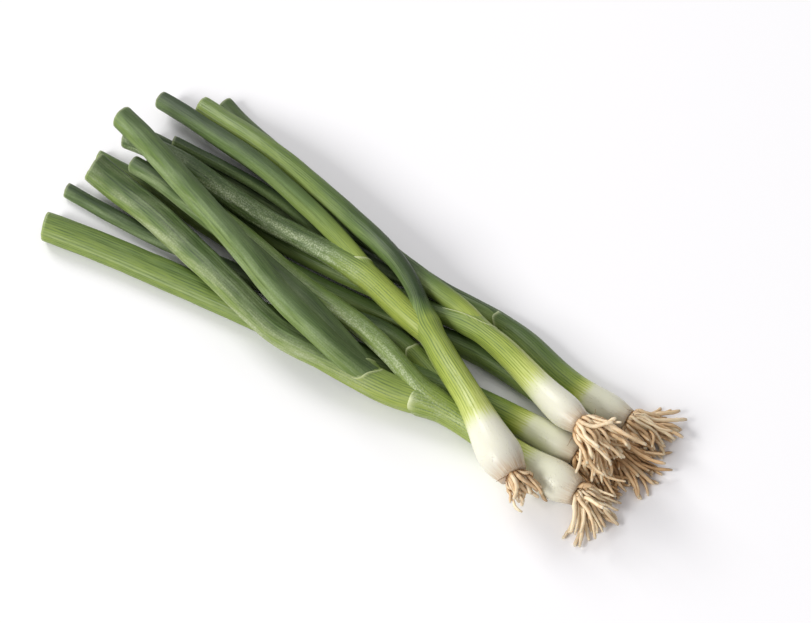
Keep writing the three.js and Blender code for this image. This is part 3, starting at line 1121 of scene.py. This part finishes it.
@dataclass
class RootTuft:
    """The root plate of an onion with its tuft of roots and the fine hairs among them. Sizes are in mm."""

    onion: int
    length: float
    spread: float
    lean: tuple[float, float]
    count: int = 44
    tone: float = 0.25
    thick: float = 1.12
    tip: float = 0.78
    plate: float = 4.4
    hairs: int = 9
    flake: tuple[float, float] | None = None
    strays: tuple[tuple[float, float], ...] = ()
    joints: int = 13
    rounds: int = 24
    root_rings: int = 22
    root_sides: int = 8
    least_apart: float = 1.7
    hair_joints: int = 15
    hair_sides: int = 5
    hair_radii: tuple[float, float] = (0.2, 0.08)
    hair_step: tuple[float, float] = (0.4, 0.7)
    hair_gap: float = 0.3
    dome: Pairs = ((2.0, 0.9), (0.6, 0.9), (-0.2, 0.82), (-0.7, 0.6), (-1.0, 0.3), (-1.1, 0.1))
    dome_sides: int = 32
    flake_half: float = 2.6
    flake_rings: int = 18
    flake_sides: int = 24
    ball_spacing: float = 2.5
    ball_reach: float = 120.0

    @property
    def node(self) -> str:
        """Name of its solid."""
        return f"onion_{self.onion}_roots"

    @property
    def piece(self) -> str:
        """Name of its piece."""
        return f"onion_{self.onion}_root_tuft"

    @property
    def shaft(self) -> str:
        """Name of the solid that it grows from."""
        return solid_name(self.onion, 1)

    @property
    def seed(self) -> int:
        """Start of its random draws."""
        return self.onion

    @staticmethod
    def outward(foot: Stations, turn: float) -> np.ndarray:
        """The way out from the plate's middle at an angle."""
        return math.cos(turn) * foot.side[0] + math.sin(turn) * foot.up[0]

    def drawn(self, line: CentreLine) -> tuple[np.ndarray, np.ndarray]:
        """Roots as they grow, before anything is in their way.

        Args:
            line: Line of the onion's shaft.

        Returns:
            Points by root, by joint, and the length of each root.
        """
        rng = np.random.default_rng(self.seed)
        foot = line.at(np.array([0.0]))
        place, out = foot.place[0], -foot.heading[0]
        points, lengths = [], []
        total = self.count + len(self.strays)
        for k in range(total):
            share = math.sqrt((k + 0.5) / total)
            turn = k * math.pi * (3 - math.sqrt(5)) + rng.uniform(0, 0.5)
            radial = self.outward(foot, turn)
            at = place + radial * share * (self.plate - self.thick) * MM
            fan = radial * np.array([1.0, 1.0, 0.45])
            going = out + fan * self.spread * share * rng.uniform(0.6, 1.5)
            going = unit(going + np.array([*self.lean, 0.0]))
            length = self.length * rng.uniform(0.6, 1.0) * MM
            if k >= self.count:
                degrees, reach = self.strays[k - self.count]
                angle = math.radians(degrees)
                going = np.array([math.cos(angle), math.sin(angle), -0.25])
                length = reach * MM
            step = length / (self.joints - 1)
            bend = np.array([rng.uniform(-0.3, 0.3), rng.uniform(-0.3, 0.3), -rng.uniform(0.1, 0.4)])
            root = [at]
            for _ in range(self.joints - 1):
                going = unit(going + bend * 3.0 / (self.joints - 1) + rng.normal(0, 0.15, 3))
                at = at + going * step
                root.append(at)
            points.append(root)
            lengths.append(length)
        return np.array(points), np.array(lengths)

    def settled(
        self, roots: np.ndarray, lengths: np.ndarray, near: np.ndarray, reach: np.ndarray, limits: np.ndarray
    ) -> np.ndarray:
        """Roots pushed clear of the leaves, of each other and of the surface.

        Args:
            roots: Points by root, by joint.
            lengths: Length of each root.
            near: Centres of the balls that fill the leaves and roots round the tuft.
            reach: Radius of each ball.
            limits: Low and high corner of the solids' box.

        Returns:
            Points by root, by joint.
        """
        count, joints = roots.shape[:2]
        radius = self.thick * MM
        step = (lengths / (joints - 1))[:, None]
        owner = np.repeat(np.arange(count), joints)
        for _ in range(self.rounds):
            flat = roots.reshape(-1, 3)
            apart = flat[:, None] - near[None]
            gap = np.linalg.norm(apart, axis=-1)
            over = np.maximum(reach[None] + radius - gap, 0.0)
            worst = over.argmax(axis=1)
            rows = np.arange(len(flat))
            push = unit(apart[rows, worst]) * over[rows, worst][:, None]
            apart = flat[:, None] - flat[None]
            gap = np.linalg.norm(apart, axis=-1) + 1e-9
            over = np.maximum(self.least_apart * radius - gap, 0.0) * (owner[:, None] != owner[None])
            push = push + 0.35 * (apart / gap[..., None] * over[..., None]).sum(axis=1)
            moved = (flat + push).reshape(roots.shape)
            moved = np.clip(moved, limits[0] + radius, limits[1] - radius)
            moved[:, 0] = roots[:, 0]
            for joint in range(1, joints):
                before = moved[:, joint - 1]
                moved[:, joint] = before + unit(moved[:, joint] - before) * step
            roots = moved
        return np.clip(roots, limits[0] + 0.8 * radius, limits[1] - 0.8 * radius)

    def tube(
        self, skin: Skin, path: np.ndarray, radii: np.ndarray, tint: np.ndarray, sides: int
    ) -> None:
        """Adds a round tube.

        Args:
            skin: The skin that it joins.
            path: Points of its middle.
            radii: Radius at each point.
            tint: Tone, paleness and soil at each point.
            sides: Number of its sides.
        """
        heading = unit(np.gradient(path, axis=0))
        side = unit(np.cross(heading, np.array([0.1, 0.35, 0.93])))
        turn = full_turn(sides)
        run = np.concatenate([[0.0], np.cumsum(np.linalg.norm(np.diff(path, axis=0), axis=1))])
        grid = path[:, None] + circles(turn, side, np.cross(side, heading)) * radii[:, None, None]
        skin.add(grid, strand_of(turn, run), np.repeat(tint[:, None], sides, axis=1), Ends.CLOSED)

    def add_plate(self, skin: Skin, line: CentreLine) -> None:
        """Adds the root plate, a low rough dome over the bulb's end.

        Args:
            skin: The skin that it joins.
            line: Line of the onion's shaft.
        """
        rng = np.random.default_rng(self.seed + 90)
        turn = full_turn(self.dome_sides)
        profile = np.array(self.dome)
        distance = profile[:, 0] * MM
        radius = profile[:, 1:] * self.plate * MM
        stations = line.at(distance)
        rough = 1.0 + 0.03 * rng.standard_normal((len(profile), len(turn)))
        dome = circles(turn, stations.side, stations.up) * (radius * rough)[..., None]
        grid = (stations.place[:, None] + dome)[::-1]
        tint = tint_of(np.full(rough.shape, 0.7), 0.0, 0.35)
        skin.add(grid, strand_of(turn, distance[::-1]), tint, Ends.CLOSED)

    def build(self, setting: Setting) -> bpy.types.Object:
        """Makes the tuft.

        Args:
            setting: What it is made in.

        Returns:
            The piece.
        """
        line, skin = setting.lines[self.shaft], Skin(setting.limits)
        rng = np.random.default_rng(self.seed + 40)
        centres, reach = [], []
        for name, other in setting.lines.items():
            start = 4.0 if name == self.shaft else 0.0
            stations = other.at(np.arange(start * MM, self.ball_reach * MM, self.ball_spacing * MM))
            centres.append(stations.place)
            reach.append(stations.wide)
        for points in setting.roots:
            centres.append(points)
            reach.append(np.full(len(points), self.thick * MM))
        near, reach = np.concatenate(centres), np.concatenate(reach)
        close = np.linalg.norm(near - line.places[0], axis=1) < (self.length + 25) * MM
        roots, lengths = self.drawn(line)
        roots = self.settled(roots, lengths, near[close], reach[close], setting.limits)
        setting.roots.append(roots[:, ::2].reshape(-1, 3))
        self.add_plate(skin, line)
        share = np.linspace(0.0, 1.0, self.root_rings)
        for root in roots:
            path = np.stack([np.interp(share, np.linspace(0, 1, self.joints), c) for c in root.T], axis=1)
            path = smoothed(path, 1.2)
            size = rng.uniform(0.65, 1.12)
            radii = (self.thick + (self.tip - self.thick) * share**1.3) * MM * size
            radii *= 1.0 + 0.08 * rng.standard_normal(len(share))
            blunt = np.array([*radii[:-1], radii[-1] * 0.7])
            tone = np.clip(self.tone + rng.uniform(-0.2, 0.25) + 0.35 * np.exp(-share * 9), 0, 1)
            pale = 0.8 * eased(0.94, 1.0, share)
            soil = 0.6 * np.exp(-share * 14)
            self.tube(skin, path, blunt, np.stack([tone, pale, soil], axis=1), self.root_sides)
        self.add_hairs(skin, line, rng)
        if self.flake is not None:
            self.add_flake(skin, line)
        piece = skin.build(self.piece, RootFinish().build(setting.effects))
        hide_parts(self.node)
        return piece

    def add_flake(self, skin: Skin, line: CentreLine) -> None:
        """Adds a dry papery scale that has come loose at the plate.

        Args:
            skin: The skin that it joins.
            line: Line of the onion's shaft.
        """
        angle, length = self.flake
        foot = line.at(np.array([2.0 * MM]))
        radial = self.outward(foot, math.radians(angle))
        share = np.linspace(0.0, 1.0, self.flake_rings)
        lift = (self.plate + 2.6 * np.sin(share * 1.9) + 0.6 * share) * MM
        path = foot.place[0] - foot.heading[0] * (share * length * MM)[:, None] + radial * lift[:, None]
        across = unit(np.cross(foot.heading[0], radial))
        turn = full_turn(self.flake_sides)
        half = (self.flake_half * np.sqrt(np.clip(1.0 - (1.6 * share - 0.6) ** 2, 0.0, 1.0)) + 0.1) * MM
        wide = half[:, None] * np.cos(turn)[None]
        curl = -0.12 * wide**2 / MM + 0.12 * MM * np.sin(turn)[None] * (half[:, None] > 0)
        grid = path[:, None] + wide[..., None] * across + curl[..., None] * radial
        tint = tint_of(np.full(wide.shape, 0.55), 0.25 * share[:, None], 0.0)
        skin.add(grid, strand_of(turn, share * length * MM), tint, Ends.CLOSED)

    def add_hairs(self, skin: Skin, line: CentreLine, rng: np.random.Generator) -> None:
        """Adds dark dry hairs that curl out from the plate.

        Args:
            skin: The skin that they join.
            line: Line of the onion's shaft.
            rng: Where they are drawn from.
        """
        foot = line.at(np.array([0.0]))
        for _ in range(self.hairs):
            radial = self.outward(foot, rng.uniform(0, 2 * math.pi))
            at = foot.place[0] + radial * self.plate * MM * 0.95
            going = unit(-foot.heading[0] * rng.uniform(0.6, 1.2) + radial * rng.uniform(0.4, 1.0))
            curl = rng.normal(0, 0.22, 3)
            path = [at]
            for _ in range(self.hair_joints):
                going = unit(going + curl + rng.normal(0, 0.12, 3) - 0.05 * UP)
                at = at + going * rng.uniform(*self.hair_step) * MM
                at[2] = max(at[2], self.hair_gap * MM)
                path.append(at.copy())
            radii = np.linspace(*self.hair_radii, len(path)) * MM
            tint = np.tile([0.9, 0.0, 0.5], (len(path), 1))
            self.tube(skin, np.array(path), radii, tint, self.hair_sides)


# ---- Onions ----


@dataclass
class Onion:
    """One onion of the bunch: its leaves, from the shaft inwards, and its root tuft."""

    leaves: list[Leaf]
    tuft: RootTuft

    def build(self, setting: Setting) -> None:
        """Makes the onion's pieces and lets them ride on the bunch's body.

        Args:
            setting: What they are made in.
        """
        for leaf in self.leaves:
            piece = leaf.build(setting)
            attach(piece, BODY)
            log.info("%s, %d faces", piece.name, len(piece.data.polygons))
        piece = self.tuft.build(setting)
        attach(piece, BODY)
        log.info("%s, %d faces", piece.name, len(piece.data.polygons))


SHAFT = LeafFinish("shaft_skin", roughness=0.3, vein_tint=0.25, bloom=0.12, mottle=0.04, bead_share=0.25,
                   bead_depth=0.12 * MM, translucence=0.12)
WAXY = LeafFinish("waxy_leaf")
BLUE = LeafFinish("blue_leaf", bloom=0.4, bloom_colour=(148, 165, 122))
WET = LeafFinish("wet_leaf", roughness=0.26, vein_tint=0.22, bloom=0.5, mottle=0.85, bead_share=0.6,
                 bead_depth=0.16 * MM, painted_shade=0.1, waxy_from=0.44)
# Ridged leaf: a strong painted highlight of bloom on its lit side and painted shade away from it.
RIDGED = LeafFinish("ridged_leaf", vein_tint=0.24, bloom=0.62, mottle=0.4, painted_shade=0.22, facing=182,
                    bloom_colour=(160, 168, 130), waxy_from=0.46)
DARK = LeafFinish("dark_leaf", bloom=0.2, mottle=0.08, bloom_colour=(120, 138, 96))
BRIGHT = LeafFinish("bright_leaf", bloom=0.12, mottle=0.12, bloom_colour=(150, 172, 92))


def onions() -> list[Onion]:
    """The six onions, in the order in which they are laid down.

    Returns:
        The onions. Each ripeness is a row of distances from the root end, in mm, with the ripeness there.
    """
    return [
        Onion(
            [Leaf(6, 1, ((0, 0), (24, 0.05), (38, 0.6), (60, 0.78), (300, 0.72)), SHAFT, soil=0.5)],
            RootTuft(6, 35, 0.5, (0, -0.1), tone=0.5, plate=2.9),
        ),
        Onion([
            Leaf(
                4, 1, ((0, 0.02), (24, 0.1), (38, 0.58), (60, 0.74), (92, 0.74), (130, 0.72), (283, 0.66)),
                SHAFT, soil=0.6, rib_depth=0.24, creases=(Crease(84, 0.6, 120, 290, 14),),
                mouths=(Mouth(2, 36, ((0, 0.6), (25, 0.62))),),
            ),
            Leaf(4, 2, ((0, 0.4), (30, 0.6), (60, 0.88), (220, 0.92)), BLUE),
        ], RootTuft(4, 33, 0.5, (0, -0.1), tone=0.42, plate=3.5)),
        Onion([
            Leaf(
                5, 1, ((0, 0.02), (20, 0.06), (30, 0.55), (45, 0.7), (80, 0.78), (120, 0.85), (270, 0.85)),
                SHAFT, soil=0.5,
                mouths=(Mouth(2, 20, ((0, 0.72), (25, 0.75)), slant=3, facing=60, flare=0.5),),
            ),
            Leaf(5, 2, ((0, 0.5), (30, 0.7), (60, 0.88), (210, 0.9)), WAXY),
        ], RootTuft(5, 30, 0.45, (0, 0.2), tone=0.2, plate=3.3, strays=((34, 27),))),
        Onion([
            Leaf(
                3, 1, ((0, 0.0), (22, 0.04), (38, 0.3), (50, 0.45), (76, 0.56), (92, 0.72), (262, 0.84)),
                SHAFT, soil=0.7,
                mouths=(Mouth(2, 23, ((0, 0.5), (40, 0.62)), 15, 208, 0.6, pale_edge=0.7, paleness=0.9),),
            ),
            Leaf(3, 2, ((0, 0.4), (28, 0.5), (60, 0.85), (210, 0.82)), WAXY),
        ], RootTuft(3, 33, 0.5, (0, 0.1), count=52, tone=0.12, plate=4.0)),
        Onion([
            Leaf(
                2, 1,
                ((0, 0), (22, 0.08), (36, 0.38), (50, 0.52), (84, 0.56), (98, 0.66), (120, 0.7), (283, 0.72)),
                WET, soil=0.6,
                mouths=(Mouth(2, 22, ((0, 0.6), (30, 0.6)), 5, 140, 0.05,
                              pale_edge=2.2, pale_turn=30, paleness=0.8),),
            ),
            Leaf(
                2, 2, ((0, 0.48), (46, 0.56), (66, 0.68), (110, 0.76), (240, 0.8)), RIDGED,
                creases=(Crease(112, 0.8, 80, 260, 16), Crease(66, 0.4, 60, 260, 10),
                         Crease(150, 0.3, 60, 260, 7)),
                mouths=(
                    Mouth(3, 28, ((0, 0.55), (32, 0.6)), slant=5.5, facing=205),
                    Mouth(4, 26, ((0, 0.55), (32, 0.6)), paleness=0.3),
                ),
                rib_depth=0.28, around=100,
            ),
            Leaf(
                2, 3, ((0, 0.6), (20, 0.84), (60, 0.8), (210, 0.82)), BLUE,
                creases=(Crease(134, 0.6, 60, 215, 5), Crease(110, 0.35, 80, 215, 4)), around=108,
            ),
            Leaf(2, 4, ((0, 0.5), (30, 0.8), (180, 0.9)), WAXY),
        ], RootTuft(2, 27, 0.5, (0.0, -0.3), count=36, tone=0.05, plate=3.8, flake=(70, 8))),
        Onion([
            Leaf(
                1, 1,
                ((0, 0), (24, 0.03), (36, 0.31), (50, 0.43), (95, 0.54), (108, 0.95), (140, 0.88),
                 (200, 0.68), (276, 0.66)),
                SHAFT, soil=0.8, scar=Crease(196, 0.5, 62, 100, 8),
            ),
            Leaf(
                1, 2, ((0, 0.42), (55, 0.5), (68, 0.62), (84, 0.86), (206, 0.92)), WET,
                mouths=(
                    Mouth(3, 28, ((0, 0.5), (32, 0.55)), slant=4, facing=195, paleness=0.9),
                    Mouth(4, 20, ((0, 0.5), (32, 0.55)), slant=4, facing=205),
                ),
            ),
            Leaf(1, 4, ((0, 0.5), (30, 0.66), (60, 0.86), (160, 0.95)), BRIGHT),
            Leaf(
                1, 3, ((0, 0.45), (34, 0.56), (70, 0.74), (110, 0.86), (180, 0.96)), DARK,
                creases=(Crease(110, 0.5, 45, 110, 9),),
            ),
        ], RootTuft(1, 19, 0.5, (0.1, 0.2), count=20, tone=0.1, plate=4.4, strays=((-30, 23), (-20, 26)))),
    ]


# ---- Studio ----


@dataclass
class Softbox:
    """A square area light: where it stands from the bunch, its size and its power in watts."""

    name: str
    azimuth: float
    elevation: float
    distance: float
    size: float
    power: float

    def build(self, aim: Vector) -> None:
        """Sets the light up.

        Args:
            aim: The point that it faces.
        """
        light = bpy.data.lights.new(self.name, "AREA")
        light.shape = "SQUARE"
        light.size = self.size
        light.energy = self.power
        looking_at(self.name, light, aim, self.azimuth, self.elevation, self.distance)


@dataclass
class Studio:
    """The white surface, the lights and the camera."""

    landmark: str = "onion_4_shaft"
    aim_from_landmark: tuple[float, float] = (0.17558, 0.06643)
    aim_height: float = 8.0 * MM
    azimuth: float = 36.0
    elevation: float = 53.0
    distance: float = 1.2706
    lens: float = 120.0
    floor_half: float = 4.0
    sky: float = 0.445
    sky_colour: tuple[float, float, float, float] = (0.985, 0.975, 1.0, 1.0)
    softboxes: tuple[Softbox, ...] = (
        Softbox("key_light", -18, 35, 6.0, 2.3, 246),
        Softbox("end_light", -102, 30, 6.0, 2.4, 204),
    )

    def build(self) -> None:
        """Sets up the camera, the lights and the surface."""
        low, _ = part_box(self.landmark)
        across, along = self.aim_from_landmark
        aim = Vector((low.x + across, low.y + along, self.aim_height))
        lens = bpy.data.cameras.new("camera")
        lens.lens = self.lens
        lens.sensor_width = 36.0
        lens.clip_start = 0.05
        camera = looking_at("camera", lens, aim, self.azimuth, self.elevation, self.distance)
        bpy.context.scene.camera = camera
        for softbox in self.softboxes:
            softbox.build(aim)
        world = bpy.data.worlds.new("studio")
        bpy.context.scene.world = world
        world.use_nodes = True
        sky = world.node_tree.nodes["Background"]
        sky.inputs["Color"].default_value = self.sky_colour
        sky.inputs["Strength"].default_value = self.sky
        bpy.context.scene.view_settings.view_transform = "Standard"
        self.floor()

    def floor(self) -> None:
        """Lays the white surface."""
        half = self.floor_half
        corners = [(-half, -half, 0), (half, -half, 0), (half, half, 0), (-half, half, 0)]
        mesh = bpy.data.meshes.new("floor")
        mesh.from_pydata(corners, [], [(0, 1, 2, 3)])
        mesh.materials.append(FloorFinish().build())
        floor = linked("floor", mesh)
        floor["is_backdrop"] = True


def main() -> None:
    """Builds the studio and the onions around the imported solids."""
    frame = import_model()
    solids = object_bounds()
    Studio().build()
    log.info("studio set up")
    bunch = onions()
    leaves = [leaf for onion in bunch for leaf in onion.leaves]
    lines = {leaf.node: SolidReader(frame["nodes"][leaf.node]).line() for leaf in leaves}
    log.info("read the lines of %d leaves", len(lines))
    setting = Setting(lines, Effects(), np.array([list(corner) for corner in solids]))
    for onion in bunch:
        onion.build(setting)


if __name__ == "__main__":
    logging.basicConfig(level=logging.INFO, format="%(name)s: %(message)s")
    main()
